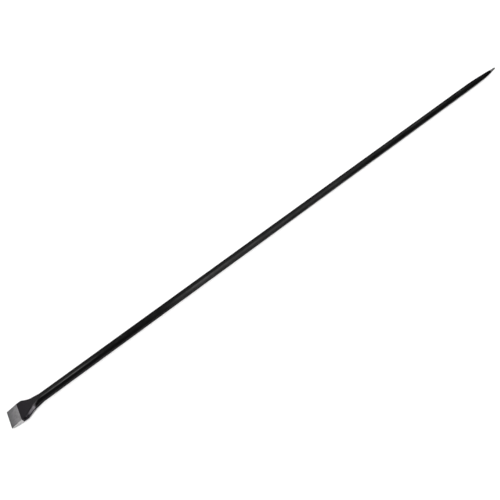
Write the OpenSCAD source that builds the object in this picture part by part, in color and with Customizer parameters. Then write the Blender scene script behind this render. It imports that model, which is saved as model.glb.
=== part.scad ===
// Digging bar: a six-sided steel bar with a flared chisel head and a tapered pencil point.
// Millimetres. The bar lies along X on one of its flats, with the cutting edge at -X.

/* [Bar] */
// Whole length from the cutting edge to the tip
bar_length = 1800; // [1200:10:2400]
// Size of the six-sided bar across its flats, over the enamel
across_flats = 20; // [16:0.5:32]
// Distance from each corner at which the rounding starts
corner_setback = 1.7; // [0.5:0.1:3]
// Thickness of the black enamel film
enamel_film = 0.3; // [0.2:0.05:0.6]

/* [Chisel head] */
// Length of the head from the cutting edge to its weld
head_length = 120; // [105:1:200]
// Width of the cutting edge
blade_width = 50; // [36:1:80]
// Width across the shoulders, between the ridges of the sides
shoulder_width = 55.5; // [40:0.5:90]
// Thickness left at the cutting edge
edge_land = 2.4; // [0.6:0.1:3]
// Length of the bare ground part
ground_length = 26; // [18:1:34]
// Thickness of the blade where the ground part ends
ground_thickness = 10.6; // [7:0.1:14]
// Distance from the grind line to the shoulders
shoulder_length = 10.5; // [6:0.5:16]
// Distance from the shoulders to where the head is as narrow as the bar
flare_length = 43; // [30:1:54]
// Distance from the grind line to where the head is as thick as the bar
swell_length = 57; // [40:1:66]
// Rounding of the blade's long edges
blade_setback = 1.2; // [0.5:0.1:2]
// Sideways offset of the blade from the bar's middle line
blade_offset = 1; // [-2:0.1:2]

/* [Pencil point] */
// Length of the point from its weld to the tip
point_length = 215; // [200:1:280]
// Straight length of the point behind its taper
point_straight = 33; // [29:1:45]
// Length of the bare tip
bare_tip = 29; // [14:1:45]
// Diameter of the bare tip where its rounded nose starts
nose_diameter = 7.4; // [3:0.1:9]
// Length of the rounded nose
nose_length = 5; // [1.5:0.5:7]
// Distance of the small flat on the nose from its ideal end
tip_trim = 0.3; // [0.1:0.1:1]
// Drop of the taper's middle line, which keeps the underside straight until near the tip
point_sag = 1.5; // [0:0.1:1.6]

/* [Joints] */
// Diameter of the turned spigots
spigot_diameter = 11; // [8:0.5:13]
// Length of the turned spigots
spigot_length = 22; // [14:1:30]
// Radial clearance of a spigot in its socket
spigot_clearance = 0.1; // [0.05:0.05:0.3]
// Gap left past the end of a spigot
socket_end_gap = 0.4; // [0.2:0.1:1]
// Width of the weld at its root
weld_root = 2; // [1:0.5:4]
// Width of the weld at the surface
weld_face = 9; // [6:0.5:14]

/* [Hidden] */
// Shares that shape the curves, and counts of their steps
flare_power = 1.8;
shoulder_power = 1.1;
ogive_power = 2.2;
round_share = 0.96;
side_share = 0.6;
sway_power = 1.25;
bulge_share = 0.42;
pinch_share = 0.16;
sag_power = 3;
sag_place_power = 0.6;
corner_steps = 4;
side_steps = 10;
neck_steps = 24;
point_steps = 26;
bare_steps = 5;
nose_steps = 6;
half_share = 0.5;
setback_share = 0.45;
bore_fn = 64;
hex_corners = 6;
quarter_turn = 90;
half_turn = 180;
full_turn = 360;

// Cuts run past the faces that they open
overrun = across_flats * 0.1;

bar_half = across_flats * half_share;
edge_x = -bar_length * half_share;
tip_x = bar_length * half_share + tip_trim;
head_joint_x = edge_x + head_length;
point_joint_x = tip_x - point_length;
taper_length = point_length - point_straight;
corner_reach = across_flats / sqrt(3);
socket_diameter = spigot_diameter + spigot_clearance + spigot_clearance;
socket_depth = spigot_length + socket_end_gap;
edge_half = edge_land * half_share + enamel_film;
ground_half = ground_thickness * half_share + enamel_film;
shoulder_at = ground_length + shoulder_length;
neck_end = max(shoulder_at + flare_length, ground_length + swell_length);
nose_half = nose_diameter * half_share;

steel = [0.62, 0.62, 0.64];
weld_metal = [0.45, 0.44, 0.43];
enamel = [0.05, 0.05, 0.055];

// Blends of 0 to 1
function held(s) = min(max(s, 0), 1);
function smooth(s) = held(s) * held(s) * (3 - 2 * held(s));
function blend(p, q, s) = p + (q - p) * s;

// A section is six corners, given by the half width of its top face, the half width at
// mid height and its half height. Each corner is rounded between two points on its sides.
function corners(face, middle, half) = [[middle, 0], [face, half], [-face, half],
    [-middle, 0], [-face, -half], [face, -half]];
function toward(p, q, reach) = p + (q - p) / norm(q - p) * reach;
function curve(p, v, q, s) = (1 - s) * (1 - s) * p + 2 * s * (1 - s) * v + s * s * q;
function rounded(c, sides, tops) = [
    for (i = [0:1:hex_corners - 1])
        let (v = c[i])
        let (before = c[(i + hex_corners - 1) % hex_corners])
        let (after = c[(i + 1) % hex_corners])
        let (reach = (i % 3 == 0) ? sides : tops)
        for (k = [0:1:corner_steps - 1])
            curve(toward(v, before, reach), v, toward(v, after, reach), k / (corner_steps - 1))
];

// The bar's own section, set in from its outside
function bar_section(inset) = rounded(
    corners((bar_half - inset) / sqrt(3), 2 * (bar_half - inset) / sqrt(3), bar_half - inset),
    corner_setback, corner_setback);

// The head's half height, and half widths, at a distance from the cutting edge. The ground part
// has upright sides, and behind it the bar's ridged sides run on through the shoulders.
function head_half(at) = (at < ground_length)
    ? blend(edge_half, ground_half, at / ground_length)
    : blend(ground_half, bar_half, smooth((at - ground_length) / swell_length));
function flare(at) = pow(1 - pow(held((at - shoulder_at) / flare_length), shoulder_power), flare_power);
function drift(at) = blade_offset * flare(at);
function ridged(at) = smooth((at - ground_length) / (shoulder_length * side_share));
function blade_half(at) = blend(blade_width, shoulder_width, ridged(at)) * half_share;
function head_middle(at, inset) = blend(2 * (bar_half - inset) / sqrt(3), blade_half(at) - inset, flare(at));
// The flared sides lie over a little by the shoulders and stand up again at the neck
function sway(at) = pow(held((at - shoulder_at) / flare_length), sway_power);
function lean(at) = 1 + ((sway(at) < half_share) ? bulge_share : pinch_share) * sin(full_turn * sway(at));
function head_face(at, inset) =
    head_middle(at, inset) - (head_half(at) - inset) / sqrt(3) * ridged(at) * lean(at);
function head_reach(at, inset) = min(
    blend(blade_setback, corner_setback, ridged(at)), (head_half(at) - inset) * setback_share);
function head_section(at, inset) = rounded(
    corners(head_face(at, inset), head_middle(at, inset), head_half(at) - inset),
    head_reach(at, inset), head_reach(at, inset));
head_stops = concat(
    [0, ground_length],
    [for (k = [1:1:side_steps]) blend(ground_length, shoulder_at, k / side_steps)],
    [for (k = [1:1:neck_steps]) blend(shoulder_at, neck_end, k / neck_steps)],
    [head_length]);
head_film_stops = [for (at = head_stops) if (at >= ground_length) at];

// The point's half size at a distance from the tip: a rounded nose, a straight bare tip and a
// bowed taper under the film
function ogive(back) = sqrt(1 - pow(1 - held(back / taper_length), ogive_power));
function taper_half(back) = (bar_half - enamel_film) * ogive(back);
function bare_half(back) = (back < nose_length)
    ? nose_half * sqrt(1 - pow(1 - back / nose_length, 2))
    : blend(nose_half, taper_half(bare_tip), (back - nose_length) / (bare_tip - nose_length));
function steel_half(back) = (back < bare_tip) ? bare_half(back) : taper_half(back);
function sag(back) =
    point_sag * pow(sin(half_turn * pow(held(back / taper_length), sag_place_power)), sag_power);
function point_round(back) = 1 - smooth((back - bare_tip) / (taper_length - bare_tip));
function point_reach(back, half) = blend(min(corner_setback, half / sqrt(3) * round_share),
    half / sqrt(3) * round_share, point_round(back));
function point_section(back, half) = rounded(
    corners(half / sqrt(3), 2 * half / sqrt(3), half),
    point_reach(back, half), point_reach(back, half));
point_stops = concat(
    [point_length],
    [for (k = [0:1:point_steps]) blend(taper_length, bare_tip, k / point_steps)],
    [for (k = [1:1:bare_steps]) blend(bare_tip, nose_length, k / bare_steps)],
    [for (k = [1:1:nose_steps]) blend(nose_length, tip_trim, sin(quarter_turn * k / nose_steps))]);
point_film_stops = concat(
    [point_length],
    [for (k = [0:1:point_steps]) blend(taper_length, bare_tip, k / point_steps)]);

// Sections placed along the bar
function placed(section, x, shift, drop) = [
    for (p = section) [x, p[0] + shift, p[1] + bar_half - drop]];
function head_rings(stops, inset) = [
    for (at = stops) placed(head_section(at, inset), edge_x + at, drift(at), 0)];
function steel_point_rings(stops) = [
    for (back = stops) placed(point_section(back, steel_half(back)), tip_x - back, 0, sag(back))];
function film_point_rings(stops) = [
    for (back = stops)
        placed(point_section(back, steel_half(back) + enamel_film), tip_x - back, 0, sag(back))];

// Skins between sections: a solid one, and a hollow one between an outer and an inner row
function flat_points(rings) = [for (r = rings) for (p = r) p];
function side_faces(count, around, first, inward) = [
    for (j = [0:1:count - 2])
        for (i = [0:1:around - 1])
            let (p = first + j * around + i)
            let (q = first + j * around + (i + 1) % around)
            for (f = inward
                ? [[p, p + around, q + around], [p, q + around, q]]
                : [[p, q + around, p + around], [p, q, q + around]])
                f
];
module solid_skin(rings) {
    around = len(rings[0]);
    last = (len(rings) - 1) * around;
    polyhedron(
        points = flat_points(rings),
        faces = concat(
            side_faces(len(rings), around, 0, true),
            [[for (i = [0:1:around - 1]) i]],
            [[for (i = [around - 1:-1:0]) last + i]]));
}
module hollow_skin(outer, inner) {
    around = len(outer[0]);
    shift = len(outer) * around;
    last = (len(outer) - 1) * around;
    polyhedron(
        points = concat(flat_points(outer), flat_points(inner)),
        faces = concat(
            side_faces(len(outer), around, 0, true),
            side_faces(len(inner), around, shift, false),
            [for (i = [0:1:around - 1])
                let (n = (i + 1) % around)
                for (f = [[i, n, shift + n], [i, shift + n, shift + i]]) f],
            [for (i = [0:1:around - 1])
                let (n = (i + 1) % around)
                let (p = last + i)
                let (q = last + n)
                for (f = [[q, p, shift + p], [q, shift + p, shift + q]]) f]));
}

// A length of the six-sided bar between two places
module bar_between(start_x, end_x, inset) {
    translate([start_x, 0, bar_half])
        rotate([90, 0, 90])
            linear_extrude(height = end_x - start_x)
                polygon(bar_section(inset));
}

// The ring-shaped groove that a weld fills, centred on a joint
module groove(joint_x) {
    spigot_radius = spigot_diameter * half_share;
    top_radius = corner_reach + overrun;
    slope = (weld_face - weld_root) * half_share / (corner_reach - spigot_radius);
    top_half = weld_root * half_share + slope * (top_radius - spigot_radius);
    translate([joint_x, 0, bar_half])
        rotate([0, 90, 0])
            rotate_extrude($fn = bore_fn)
                polygon([[spigot_radius, -weld_root * half_share], [top_radius, -top_half],
                    [top_radius, top_half], [spigot_radius, weld_root * half_share]]);
}
module round_bar(start_x, length, diameter) {
    translate([start_x, 0, bar_half])
        rotate([0, 90, 0])
            cylinder(h = length, d = diameter, $fn = bore_fn);
}
module weld_ring(joint_x) {
    intersection() {
        bar_between(joint_x - weld_face, joint_x + weld_face, enamel_film);
        groove(joint_x);
    }
}

module shank() {
    color(steel) {
        difference() {
            bar_between(head_joint_x, point_joint_x, enamel_film);
            groove(head_joint_x);
            groove(point_joint_x);
        }
        round_bar(head_joint_x - spigot_length, spigot_length + weld_face, spigot_diameter);
        round_bar(point_joint_x - weld_face, spigot_length + weld_face, spigot_diameter);
    }
}
module chisel_head() {
    color(steel)
        difference() {
            solid_skin(head_rings(head_stops, enamel_film));
            groove(head_joint_x);
            round_bar(head_joint_x - socket_depth, socket_depth + overrun, socket_diameter);
        }
}
module pencil_point() {
    color(steel)
        difference() {
            solid_skin(steel_point_rings(point_stops));
            groove(point_joint_x);
            round_bar(point_joint_x - overrun, socket_depth + overrun, socket_diameter);
        }
}
module head_weld() {
    color(weld_metal) weld_ring(head_joint_x);
}
module point_weld() {
    color(weld_metal) weld_ring(point_joint_x);
}
module shank_enamel() {
    color(enamel)
        difference() {
            bar_between(head_joint_x, point_joint_x, 0);
            bar_between(head_joint_x - overrun, point_joint_x + overrun, enamel_film);
        }
}
module head_enamel() {
    color(enamel) hollow_skin(head_rings(head_film_stops, 0), head_rings(head_film_stops, enamel_film));
}
module point_enamel() {
    color(enamel) hollow_skin(film_point_rings(point_film_stops), steel_point_rings(point_film_stops));
}

shank();
chisel_head();
pencil_point();
head_weld();
point_weld();
shank_enamel();
head_enamel();
point_enamel();
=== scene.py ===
import math
import bpy
import bmesh
from mathutils import Matrix, Vector


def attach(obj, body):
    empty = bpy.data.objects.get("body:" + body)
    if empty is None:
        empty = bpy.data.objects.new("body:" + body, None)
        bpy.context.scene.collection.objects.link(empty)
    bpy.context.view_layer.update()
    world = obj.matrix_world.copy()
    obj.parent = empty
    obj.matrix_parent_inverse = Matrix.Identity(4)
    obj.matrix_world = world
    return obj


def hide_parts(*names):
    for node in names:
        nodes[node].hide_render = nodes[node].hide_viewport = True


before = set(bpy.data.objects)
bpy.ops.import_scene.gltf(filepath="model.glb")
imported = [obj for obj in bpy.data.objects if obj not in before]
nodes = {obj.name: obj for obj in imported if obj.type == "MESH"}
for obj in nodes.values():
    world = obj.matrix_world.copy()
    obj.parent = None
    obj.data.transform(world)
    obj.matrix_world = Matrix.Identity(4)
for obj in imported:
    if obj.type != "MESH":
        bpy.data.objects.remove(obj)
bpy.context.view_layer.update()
print("stage: frame loaded")

# sizes shared by all the pieces, in metres
bar = {
    "length": 1.8,
    "acrossFlats": 0.020,
    "film": 0.0003,
    "cornerSetback": 0.0017,
}
axisZ = bar["acrossFlats"] / 2
edgeX = -bar["length"] / 2
tipX = bar["length"] / 2
root3 = math.sqrt(3)
hair = 1e-6  # places closer than this are one place
sliver = 1e-5  # an edge that goes further than this along the bar is a long one


def held(s):
    return min(max(s, 0.0), 1.0)


def ease(s):
    return held(s) ** 2 * (3 - 2 * held(s))


def blend(p, q, s):
    return p + (q - p) * s


# modelling by hand-like steps

def startFresh():
    if bpy.context.object and bpy.context.object.mode != "OBJECT":
        bpy.ops.object.mode_set(mode="OBJECT")
    bpy.ops.object.select_all(action="DESELECT")


def pickVerts(test):
    bpy.ops.mesh.select_all(action="DESELECT")
    work = bmesh.from_edit_mesh(bpy.context.object.data)
    for v in work.verts:
        if test(v.co):
            v.select_set(True)
    work.select_flush(True)
    bmesh.update_edit_mesh(bpy.context.object.data)


def pickEdges(test):
    bpy.ops.mesh.select_all(action="DESELECT")
    work = bmesh.from_edit_mesh(bpy.context.object.data)
    for e in work.edges:
        if test(e.verts[0].co, e.verts[1].co):
            e.select_set(True)
    bmesh.update_edit_mesh(bpy.context.object.data)


def startRing(name, sides, radius, x):
    startFresh()
    bpy.ops.mesh.primitive_circle_add(vertices=sides, radius=radius, fill_type="NOTHING",
                                      location=(x, 0, axisZ), rotation=(0, math.pi / 2, 0))
    piece = bpy.context.object
    piece.name = name
    piece.data.name = name
    bpy.ops.object.transform_apply(location=True, rotation=True, scale=True)
    bpy.ops.object.mode_set(mode="EDIT")
    bpy.ops.mesh.select_mode(type="VERT")
    return piece


def stretch(x, y, z):
    bpy.ops.transform.resize(value=(1, y, z), center_override=(x, 0, axisZ))


def pushRing(xOld, xNew):  # carries the open ring on to the next place along the bar
    pickVerts(lambda co: abs(co.x - xOld) < hair)
    bpy.ops.mesh.extrude_edges_move(TRANSFORM_OT_translate={"value": (xNew - xOld, 0, 0)})


def sixCornered(name, stops):  # stops: x, half width of the faces, half width at mid height, half height
    x, face, middle, half = stops[0]
    piece = startRing(name, 6, 1.0, x)
    old = (x, 0.5, 1.0, root3 / 2)
    for k, (x, face, middle, half) in enumerate(stops):
        if k:
            pushRing(old[0], x)
        pickVerts(lambda co: abs(co.x - x) < hair and abs(co.z - axisZ) < hair)
        stretch(x, middle / old[2], 1)
        pickVerts(lambda co: abs(co.x - x) < hair and abs(co.z - axisZ) >= hair)
        stretch(x, face / old[1], half / old[3])
        old = (x, face, middle, half)
    return piece


def roundEdges(test, setback, segments):
    bpy.ops.mesh.select_mode(type="EDGE")
    pickEdges(test)
    bpy.ops.mesh.bevel(offset=setback, offset_type="OFFSET", segments=segments, profile=0.5,
                       affect="EDGES", clamp_overlap=False)
    bpy.ops.mesh.select_mode(type="VERT")


def capRing(x):
    pickVerts(lambda co: abs(co.x - x) < hair)
    bpy.ops.mesh.edge_face_add()


def outwards():
    bpy.ops.mesh.select_all(action="SELECT")
    bpy.ops.mesh.remove_doubles(threshold=hair)
    bpy.ops.mesh.normals_make_consistent(inside=False)


def finishPiece(angle):
    bpy.ops.object.mode_set(mode="OBJECT")
    bpy.ops.object.shade_smooth_by_angle(angle=math.radians(angle))


def giveFilm(piece, thickness):
    wall = piece.modifiers.new("film", "SOLIDIFY")
    wall.thickness = thickness
    wall.offset = -1
    wall.use_even_offset = True
    bpy.ops.object.modifier_apply(modifier=wall.name)


def evenShading(piece):  # flats shade flat, and only the rounded corners turn
    even = piece.modifiers.new("even", "WEIGHTED_NORMAL")
    even.keep_sharp = True
    bpy.ops.object.modifier_apply(modifier=even.name)


# the chisel head's form, by distance from its cutting edge
head = {
    "edgeWidth": 0.050,
    "shoulderWidth": 0.0555,
    "edgeLand": 0.0024,
    "groundLength": 0.026,
    "groundThickness": 0.0106,
    "shoulderLength": 0.0105,
    "sideShare": 0.6,
    "flareLength": 0.043,
    "flarePower": 1.8,
    "shoulderPower": 1.1,
    "swellLength": 0.057,
    "swayPower": 1.25,
    "bulgeShare": 0.42,
    "pinchShare": 0.16,
    "offset": 0.001,
    "weldAt": 0.120,
}
shoulderAt = head["groundLength"] + head["shoulderLength"]
neckEnd = head["groundLength"] + head["swellLength"]


def headHalf(at):
    groundHalf = head["groundThickness"] / 2 + bar["film"]
    if at < head["groundLength"]:
        return blend(head["edgeLand"] / 2 + bar["film"], groundHalf, at / head["groundLength"])
    return blend(groundHalf, axisZ, ease((at - head["groundLength"]) / head["swellLength"]))


def ridged(at):  # 0 where the sides are ground upright, 1 where they are ridged as the bar's
    return ease((at - head["groundLength"]) / (head["shoulderLength"] * head["sideShare"]))


def flare(at):  # 1 from the cutting edge to the shoulders, 0 at the neck
    along = held((at - shoulderAt) / head["flareLength"])
    return (1 - along ** head["shoulderPower"]) ** head["flarePower"]


def headMiddle(at, inset):
    wide = blend(head["edgeWidth"], head["shoulderWidth"], ridged(at)) / 2
    return blend(2 * (axisZ - inset) / root3, wide - inset, flare(at))


def lean(at):  # the flared sides lay over a little by the shoulders and stand up at the neck
    along = held((at - shoulderAt) / head["flareLength"]) ** head["swayPower"]
    share = head["bulgeShare"] if along < 0.5 else head["pinchShare"]
    return 1 + share * math.sin(2 * math.pi * along)


def headFace(at, inset):
    return headMiddle(at, inset) - (headHalf(at) - inset) / root3 * ridged(at) * lean(at)


def headStop(at, inset):
    return (edgeX + at, headFace(at, inset), headMiddle(at, inset), headHalf(at) - inset)


def driftRings(ats):  # the blade was forged a little off the bar's middle line
    for at in ats:
        pickVerts(lambda co: abs(co.x - (edgeX + at)) < hair)
        bpy.ops.transform.translate(value=(0, head["offset"] * flare(at), 0))


# the pencil point's form, by distance from its tip
point = {
    "taper": 0.182,
    "bareTip": 0.029,
    "ogivePower": 2.2,
    "noseHalf": 0.0037,
    "noseLength": 0.005,
    "tipTrim": 0.0003,
    "sag": 0.0015,
    "sagPower": 3,
    "sagPlacePower": 0.6,
}
tipEnd = tipX + point["tipTrim"]


def taperHalf(back):
    return (axisZ - bar["film"]) * math.sqrt(1 - (1 - held(back / point["taper"])) ** point["ogivePower"])


def bareHalf(back):
    if back < point["noseLength"]:
        return point["noseHalf"] * math.sqrt(1 - (1 - back / point["noseLength"]) ** 2)
    along = (back - point["noseLength"]) / (point["bareTip"] - point["noseLength"])
    return blend(point["noseHalf"], taperHalf(point["bareTip"]), along)


def pointStop(back, grow):
    half = taperHalf(back) + grow
    return (tipEnd - back, half / root3, 2 * half / root3, half)


def sag(back):  # the taper hangs a little, so its underside stays straight until near the tip
    along = held(back / point["taper"]) ** point["sagPlacePower"]
    return point["sag"] * math.sin(math.pi * along) ** point["sagPower"]


def sagRings(backs):
    for back in backs:
        pickVerts(lambda co: abs(co.x - (tipEnd - back)) < hair)
        bpy.ops.transform.translate(value=(0, 0, -sag(back)))


# black enamel: one continuous coat from the grind line to the bare tip
coat = {
    "bladeSteps": 10,
    "neckSteps": 32,
    "shankSteps": 12,
    "taperSteps": 30,
    "segments": 4,
    "smooth": 32,
}
headAts = [blend(head["groundLength"], shoulderAt, k / coat["bladeSteps"])
           for k in range(coat["bladeSteps"])]
headAts += [blend(shoulderAt, neckEnd, k / coat["neckSteps"])
            for k in range(coat["neckSteps"] + 1)]
coatStops = [headStop(at, 0) for at in headAts]
shankStart = edgeX + neckEnd
shankEnd = tipEnd - point["taper"]
for k in range(1, coat["shankSteps"]):
    x = blend(shankStart, shankEnd, k / coat["shankSteps"])
    coatStops.append((x, axisZ / root3, 2 * axisZ / root3, axisZ))
taperBacks = [blend(point["taper"], point["bareTip"], k / coat["taperSteps"])
              for k in range(coat["taperSteps"] + 1)]
coatStops += [pointStop(back, bar["film"]) for back in taperBacks]
enamelCoat = sixCornered("enamel_coat", coatStops)
driftRings(headAts)
sagRings(taperBacks)
roundEdges(lambda p, q: abs(p.x - q.x) > sliver, bar["cornerSetback"], coat["segments"])
outwards()
finishPiece(coat["smooth"])
giveFilm(enamelCoat, bar["film"])
evenShading(enamelCoat)
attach(enamelCoat, "root")
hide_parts("shank_enamel", "head_enamel", "point_enamel")
print("stage: enamel coat")

# bare steel of the head, which runs on under the coat to the weld
blade = {
    "wedgeSteps": 8,
    "sideSteps": 10,
    "neckSteps": 20,
    "stepIn": 0.0005,
    "tuck": 0.0007,
    "weldGap": 0.005,
    "setback": 0.0008,
    "segments": 3,
    "smooth": 32,
}
inset = bar["film"] + blade["tuck"]
hiddenAt = head["groundLength"] + blade["stepIn"]
wedgeAts = [head["groundLength"] * k / blade["wedgeSteps"]
            for k in range(blade["wedgeSteps"] + 1)]
hiddenAts = [blend(hiddenAt, shoulderAt, k / blade["sideSteps"])
             for k in range(blade["sideSteps"])]
hiddenAts += [blend(shoulderAt, neckEnd, k / blade["neckSteps"])
              for k in range(blade["neckSteps"] + 1)]
hiddenAts.append(head["weldAt"] - blade["weldGap"])
bladeStops = [headStop(at, bar["film"]) for at in wedgeAts]
bladeStops += [headStop(at, inset) for at in hiddenAts]
chiselSteel = sixCornered("chisel_steel", bladeStops)
driftRings(wedgeAts + hiddenAts)
capRing(bladeStops[0][0])
capRing(bladeStops[-1][0])
grindX = edgeX + head["groundLength"] + hair


def groundEdge(p, q):  # the four long edges of the wedge and the rim of its cutting end
    long = abs(p.x - q.x) > sliver and min(abs(p.z - axisZ), abs(q.z - axisZ)) > sliver
    rim = max(p.x, q.x) < edgeX + hair
    return max(p.x, q.x) < grindX and (long or rim)


roundEdges(groundEdge, blade["setback"], blade["segments"])
outwards()
finishPiece(blade["smooth"])
evenShading(chiselSteel)
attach(chiselSteel, "root")
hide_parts("chisel_head")
print("stage: chisel steel")

# bare steel of the point, round, which runs on under the coat
tip = {"sides": 32, "underSteps": 14, "bareSteps": 6, "noseSteps": 7, "under": 0.150, "smooth": 40}
underBacks = [blend(tip["under"], point["bareTip"], k / tip["underSteps"])
              for k in range(tip["underSteps"])]
bareBacks = [blend(point["bareTip"], point["noseLength"], k / tip["bareSteps"])
             for k in range(tip["bareSteps"])]
bareBacks += [blend(point["noseLength"], point["tipTrim"], math.sin(math.pi / 2 * k / tip["noseSteps"]))
              for k in range(tip["noseSteps"] + 1)]
tipStops = [(back, taperHalf(back)) for back in underBacks]
tipStops += [(back, bareHalf(back)) for back in bareBacks]
oldX, oldRadius = tipEnd - tipStops[0][0], 1.0
pointSteel = startRing("point_steel", tip["sides"], oldRadius, oldX)
for k, (back, radius) in enumerate(tipStops):
    x = tipEnd - back
    if k:
        pushRing(oldX, x)
    pickVerts(lambda co: abs(co.x - x) < hair)
    stretch(x, radius / oldRadius, radius / oldRadius)
    oldX, oldRadius = x, radius
sagRings(underBacks + bareBacks)
capRing(tipEnd - tipStops[0][0])
capRing(oldX)
outwards()
finishPiece(tip["smooth"])
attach(pointSteel, "root")
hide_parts("pencil_point")
print("stage: point steel")


# materials

class Wire:
    def __init__(self, tree, socket=None):
        self.tree = tree
        self.socket = socket

    def plug(self, target, value):
        if isinstance(value, Wire):
            self.tree.links.new(value.socket, target)
        elif value is not None:
            target.default_value = value

    def make(self, kind, settings=None, inputs=None, out=0):
        node = self.tree.nodes.new(kind)
        for key, value in (settings or {}).items():
            setattr(node, key, value)
        for key, value in (inputs or {}).items():
            self.plug(node.inputs[key], value)
        return Wire(self.tree, node.outputs[out]) if len(node.outputs) else node

    def sum(self, operation, first, second):
        return self.make("ShaderNodeMath", {"operation": operation}, {0: first, 1: second})

    def __add__(self, other):
        return self.sum("ADD", self, other)

    __radd__ = __add__

    def __sub__(self, other):
        return self.sum("SUBTRACT", self, other)

    def __rsub__(self, other):
        return self.sum("SUBTRACT", other, self)

    def __mul__(self, other):
        return self.sum("MULTIPLY", self, other)

    __rmul__ = __mul__


def freshMaterial(name):
    material = bpy.data.materials.new(name)
    material.use_nodes = True
    material.node_tree.nodes.clear()
    return material, Wire(material.node_tree)


def closeMaterial(shop, shader):
    shop.make("ShaderNodeOutputMaterial", None, {"Surface": shader})


def scaled(shop, place, sizes):  # the same place, drawn out by three factors
    return shop.make("ShaderNodeMapping", None, {"Vector": place, "Scale": sizes})


def cloudy(shop, place, scale=1.0, detail=3.0, roughness=0.55):
    inputs = {"Vector": place, "Scale": scale, "Detail": detail, "Roughness": roughness}
    return shop.make("ShaderNodeTexNoise", None, inputs)


def between(shop, value, low, high, toLow=0.0, toHigh=1.0):
    inputs = {0: value, 1: low, 2: high, 3: toLow, 4: toHigh}
    return shop.make("ShaderNodeMapRange", {"clamp": True}, inputs)


def mixed(shop, share, first, second):
    return shop.make("ShaderNodeMix", {"data_type": "RGBA"}, {0: share, 6: first, 7: second}, out=2)


def spanned(share, ends):  # from the first end at share 0 to the second at share 1
    return ends[0] + share * (ends[1] - ends[0])


def raised(shop, height, look):  # fine relief of a finish
    inputs = {"Strength": look["bump"], "Distance": look["bumpDepth"], "Height": height}
    return shop.make("ShaderNodeBump", None, inputs)


def blackEnamel():
    look = {
        "deep": (0.0235, 0.0231, 0.0232, 1),
        "worn": (0.0485, 0.0478, 0.0478, 1),
        "violet": (0.0350, 0.0320, 0.0366, 1),
        "rim": (0.20, 0.20, 0.20, 1),
        "metal": 0.93,
        "blotch": {"cloud": {"scale": 26.0}, "range": (0.38, 0.66)},
        "mottle": {"cloud": {"scale": 85.0, "detail": 4.0, "roughness": 0.65}, "range": (0.38, 0.62)},
        "drawn": {"sizes": (5.0, 210.0, 210.0), "cloud": {"detail": 4.0}, "range": (0.35, 0.7)},
        "toneShares": (0.2, 0.6, 0.2),  # blotch, mottle, drawn
        "glossShares": (0.6, 0.4),  # blotch, drawn
        "peel": {"scale": 520.0, "detail": 2.0},
        "peelHeight": 0.35,
        "forge": {"scale": 95.0, "detail": 3.0},
        "forgedX": (-0.80, -0.70),
        "forgeHeight": (1.0, 0.25),  # on the head, and further along
        "drawnHeight": 0.15,
        "heatedX": (-0.86, -0.82),
        "roughness": (0.08, 0.15),
        "bump": 0.10,
        "bumpDepth": 0.0004,
    }
    material, shop = freshMaterial("black_enamel")
    place = shop.make("ShaderNodeTexCoord", out=3)
    along = shop.make("ShaderNodeSeparateXYZ", None, {0: place})
    blotch = between(shop, cloudy(shop, place, **look["blotch"]["cloud"]), *look["blotch"]["range"])
    mottle = between(shop, cloudy(shop, place, **look["mottle"]["cloud"]), *look["mottle"]["range"])
    lengthwise = scaled(shop, place, look["drawn"]["sizes"])
    drawn = between(shop, cloudy(shop, lengthwise, **look["drawn"]["cloud"]), *look["drawn"]["range"])
    peel = cloudy(shop, place, **look["peel"])
    forged = between(shop, along, *look["forgedX"], *look["forgeHeight"])
    forge = cloudy(shop, place, **look["forge"]) * forged
    heated = between(shop, along, *look["heatedX"], 1.0, 0.0)
    ofBlotch, ofMottle, ofDrawn = look["toneShares"]
    tone = blotch * ofBlotch + mottle * ofMottle + drawn * ofDrawn
    shade = mixed(shop, tone, look["deep"], look["worn"])
    shade = mixed(shop, heated, shade, look["violet"])
    ofBlotch, ofDrawn = look["glossShares"]
    gloss = spanned(blotch * ofBlotch + drawn * ofDrawn, look["roughness"])
    height = peel * look["peelHeight"] + forge + drawn * look["drawnHeight"]
    relief = raised(shop, height, look)
    shader = shop.make("ShaderNodeBsdfPrincipled", None, {
        "Base Color": shade, "Metallic": look["metal"], "Specular Tint": look["rim"],
        "Roughness": gloss, "Normal": relief})
    closeMaterial(shop, shader)
    return material


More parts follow.
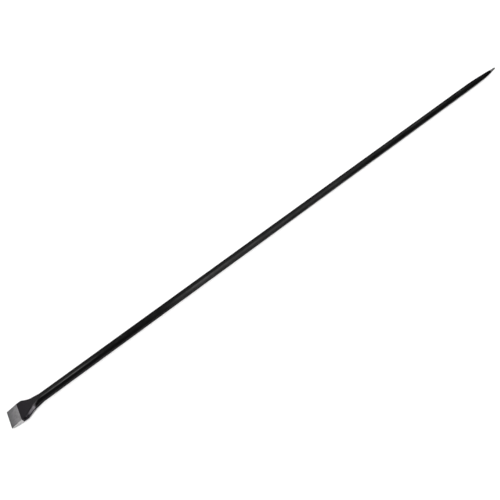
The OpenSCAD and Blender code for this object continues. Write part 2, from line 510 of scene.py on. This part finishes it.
def groundSteel():
    look = {
        "nearEdge": (0.158, 0.158, 0.163, 1),
        "atGrind": (0.48, 0.47, 0.48, 1),
        "stain": (0.19, 0.185, 0.19, 1),
        "lip": (0.06, 0.06, 0.062, 1),
        "tip": (0.24, 0.238, 0.24, 1),
        # painted light: the blade's upright side faces get a paler steel than its bevel, standing in for
        # the light they catch
        "side": (0.53, 0.53, 0.53, 1),
        "tipX": (0.0, 0.5),
        "lipLength": 0.003,
        "lipShare": 0.7,
        "scratch": {"sizes": (60.0, 2600.0, 2600.0), "cloud": {"detail": 4.0, "roughness": 0.7}},
        "cross": {"sizes": (2400.0, 160.0, 160.0), "cloud": {"detail": 2.0}},
        "crossHeight": 0.3,
        "patches": {"cloud": {"scale": 140.0, "detail": 4.0}, "range": (0.42, 0.62)},
        "stainShare": 0.45,
        "farEdge": (0.013, 0.024),  # the bevel's colour darkens toward its far edge
        "farShare": 0.5,
        "sideIn": (0.00065, 0.0004),  # how far inside the blade's width its upright sides start
        "sideStain": 0.3,
        "streakRange": (0.40, 0.62),
        "streakShare": 0.36,
        "glossShares": (0.7, 0.3),  # scratch, stain
        "roughness": (0.34, 0.50),
        "bump": 0.30,
        "bumpDepth": 0.00012,
    }
    material, shop = freshMaterial("ground_steel")
    place = shop.make("ShaderNodeTexCoord", out=3)
    along = shop.make("ShaderNodeSeparateXYZ", None, {0: place})
    sideways = shop.make("ShaderNodeSeparateXYZ", None, {0: place}, out=1) - head["offset"]
    scratch = cloudy(shop, scaled(shop, place, look["scratch"]["sizes"]), **look["scratch"]["cloud"])
    cross = cloudy(shop, scaled(shop, place, look["cross"]["sizes"]), **look["cross"]["cloud"])
    stain = between(shop, cloudy(shop, place, **look["patches"]["cloud"]), *look["patches"]["range"])
    streak = between(shop, scratch, *look["streakRange"])
    back = between(shop, along, edgeX, edgeX + head["groundLength"])
    across = shop.sum("ABSOLUTE", sideways, None)
    sideLightMask = between(shop, across, *[head["edgeWidth"] / 2 - inward for inward in look["sideIn"]])
    darkerFarSide = between(shop, sideways, *look["farEdge"]) * look["farShare"]
    lip = between(shop, along, edgeX, edgeX + look["lipLength"], look["lipShare"], 0.0)
    shade = mixed(shop, back, look["nearEdge"], look["atGrind"])
    shade = mixed(shop, between(shop, along, *look["tipX"]), shade, look["tip"])
    shade = mixed(shop, stain * look["stainShare"], shade, look["stain"])
    # darker toward the bevel's far edge
    shade = mixed(shop, darkerFarSide, shade, look["nearEdge"])
    # painted light on the upright side faces, lessened where the stains lie
    shade = mixed(shop, sideLightMask * (1 - stain * look["sideStain"]), shade, look["side"])
    shade = mixed(shop, streak * look["streakShare"], shade, look["stain"])
    shade = mixed(shop, lip, shade, look["lip"])
    ofScratch, ofStain = look["glossShares"]
    gloss = spanned(scratch * ofScratch + stain * ofStain, look["roughness"])
    relief = raised(shop, scratch + cross * look["crossHeight"], look)
    shader = shop.make("ShaderNodeBsdfPrincipled", None, {
        "Base Color": shade, "Metallic": 1.0, "Roughness": gloss, "Normal": relief})
    closeMaterial(shop, shader)
    return material


def hiddenSteel(name, pale, dark, scale):
    look = {"bump": 0.2, "bumpDepth": 0.0002, "roughness": (0.4, 0.6)}
    material, shop = freshMaterial(name)
    place = shop.make("ShaderNodeTexCoord", out=3)
    grain = cloudy(shop, place, scale)
    shader = shop.make("ShaderNodeBsdfPrincipled", None, {
        "Base Color": mixed(shop, grain, dark, pale), "Metallic": 1.0,
        "Roughness": spanned(grain, look["roughness"]), "Normal": raised(shop, grain, look)})
    closeMaterial(shop, shader)
    return material


def dress(piece, material):
    piece.data.materials.clear()
    piece.data.materials.append(material)


dress(enamelCoat, blackEnamel())
steelLook = groundSteel()
dress(chiselSteel, steelLook)
dress(pointSteel, steelLook)
dress(nodes["shank"], hiddenSteel("rolled_steel", (0.38, 0.37, 0.37, 1), (0.26, 0.25, 0.25, 1), 300.0))
weldLook = hiddenSteel("weld_steel", (0.44, 0.43, 0.42, 1), (0.28, 0.27, 0.26, 1), 900.0)
dress(nodes["head_weld"], weldLook)
dress(nodes["point_weld"], weldLook)
print("stage: materials")

# white floor
floor = {"half": 20.0, "colour": (0.95, 0.95, 0.95, 1)}
startFresh()
bpy.ops.mesh.primitive_plane_add(size=floor["half"] * 2, location=(0, 0, 0))
floorPlane = bpy.context.object
floorPlane.name = "studio_floor"
floorLook, shop = freshMaterial("floor_paper")
closeMaterial(shop, shop.make("ShaderNodeBsdfDiffuse", None, {"Color": floor["colour"]}))
dress(floorPlane, floorLook)

# a soft sun from the camera's side, in a dim room with soft boxes
room = {
    "behindY": (-0.10, 0.25),
    "frontZ": (0.30, 0.55),
    "frontLow": 0.03,
    "frontHigh": 0.20,
    "rear": 0.20,
    "rearLeft": {"x": (0.0, -0.40), "glow": 0.54},
    "rearRight": {"x": (0.0, 0.44), "glow": 0.11},
    "rearFar": {"x": (0.50, 0.76), "glow": 1.05},
    "frontNear": {"x": (-0.13, -0.20), "glow": 0.035},
    "frontFar": {"x": (0.45, 0.62), "dim": 0.5},
    "lowBox": {"x": (0.10, 0.555), "y": (-1.2, 0.0), "z": (0.21, 0.75), "glow": 1.55},
    "sideBox": {"x": (0.11, 0.29), "y": (-1.2, 0.0), "z": (0.28, 0.50), "glow": 4.9},
    "sideFar": {"x": (0.29, 0.48), "y": (-1.2, 0.0), "z": (0.28, 0.50), "glow": 3.0},
    "headBox": {"x": (0.48, 0.625), "y": (-1.2, 0.0), "z": (0.27, 0.48), "glow": 2.8},
    "topBox": {"x": (-0.235, -0.115), "y": (-0.60, -0.20), "z": (0.0, 1.2), "glow": 7.0},
    "soft": 0.035,
}
sunLamp = {"strength": 2.4, "angle": 12.0, "rise": 62.0, "place": (0, -1, 3)}

world = bpy.data.worlds.new("studio_room")
bpy.context.scene.world = world
world.use_nodes = True
world.node_tree.nodes.clear()
shop = Wire(world.node_tree)
heading = shop.make("ShaderNodeTexCoord", out=0)
toward = [shop.make("ShaderNodeSeparateXYZ", None, {0: heading}, out=k) for k in range(3)]


def eased(value, low, high):
    settings = {"interpolation_type": "SMOOTHSTEP"}
    return shop.make("ShaderNodeMapRange", settings, {0: value, 1: low, 2: high})


def softBox(box):  # a soft-edged patch of light in the directions that the box covers
    light = box["glow"]
    for value, side in zip(toward, "xyz"):
        low, high = box[side]
        light = light * eased(value, low - room["soft"], low + room["soft"])
        light = light * eased(value, high + room["soft"], high - room["soft"])
    return light


behind = eased(toward[1], *room["behindY"])
rear = room["rear"]
for side in (room["rearLeft"], room["rearRight"], room["rearFar"]):
    rear = rear + between(shop, toward[0], *side["x"]) * side["glow"]
ahead = spanned(eased(toward[2], *room["frontZ"]), (room["frontLow"], room["frontHigh"]))
ahead = ahead + between(shop, toward[0], *room["frontNear"]["x"]) * room["frontNear"]["glow"]
ahead = ahead * between(shop, toward[0], *room["frontFar"]["x"], 1.0, room["frontFar"]["dim"])
glow = behind * rear + (1 - behind) * ahead
for name in ("lowBox", "sideBox", "sideFar", "headBox", "topBox"):
    glow = glow + softBox(room[name])
tint = shop.make("ShaderNodeCombineXYZ", None, {0: glow, 1: glow, 2: glow})
backdrop = shop.make("ShaderNodeBackground", None, {"Color": tint})
shop.make("ShaderNodeOutputWorld", None, {"Surface": backdrop})

startFresh()
tilt = math.radians(90 - sunLamp["rise"])
bpy.ops.object.light_add(type="SUN", location=sunLamp["place"], rotation=(tilt, 0, 0))
sun = bpy.context.object
sun.name = "soft_sun"
sun.data.energy = sunLamp["strength"]
sun.data.angle = math.radians(sunLamp["angle"])
sun.visible_glossy = False
print("stage: light")

# camera at the photograph's view
eye = {
    "place": (-0.56285, -0.76740, 0.83814),
    "right": (0.77041, -0.59875, -0.21903),
    "up": (0.56293, 0.47756, 0.67456),
    "focalPixels": 436.45,
    "pixels": 500.0,
    "sensor": 36.0,
    "farClip": 100.0,
}
cameraData = bpy.data.cameras.new("photo_view")
cameraData.sensor_width = eye["sensor"]
cameraData.sensor_fit = "HORIZONTAL"
cameraData.lens = eye["focalPixels"] / eye["pixels"] * eye["sensor"]
cameraData.clip_end = eye["farClip"]
camera = bpy.data.objects.new("photo_view", cameraData)
bpy.context.scene.collection.objects.link(camera)
right = Vector(eye["right"]).normalized()
up = (Vector(eye["up"]) - right * Vector(eye["up"]).dot(right)).normalized()
turn = Matrix((right, up, right.cross(up))).transposed()
camera.matrix_world = Matrix.Translation(Vector(eye["place"])) @ turn.to_4x4()
bpy.context.scene.camera = camera
bpy.context.scene.view_settings.view_transform = "Standard"
print("stage: camera")

bpy.context.view_layer.update()
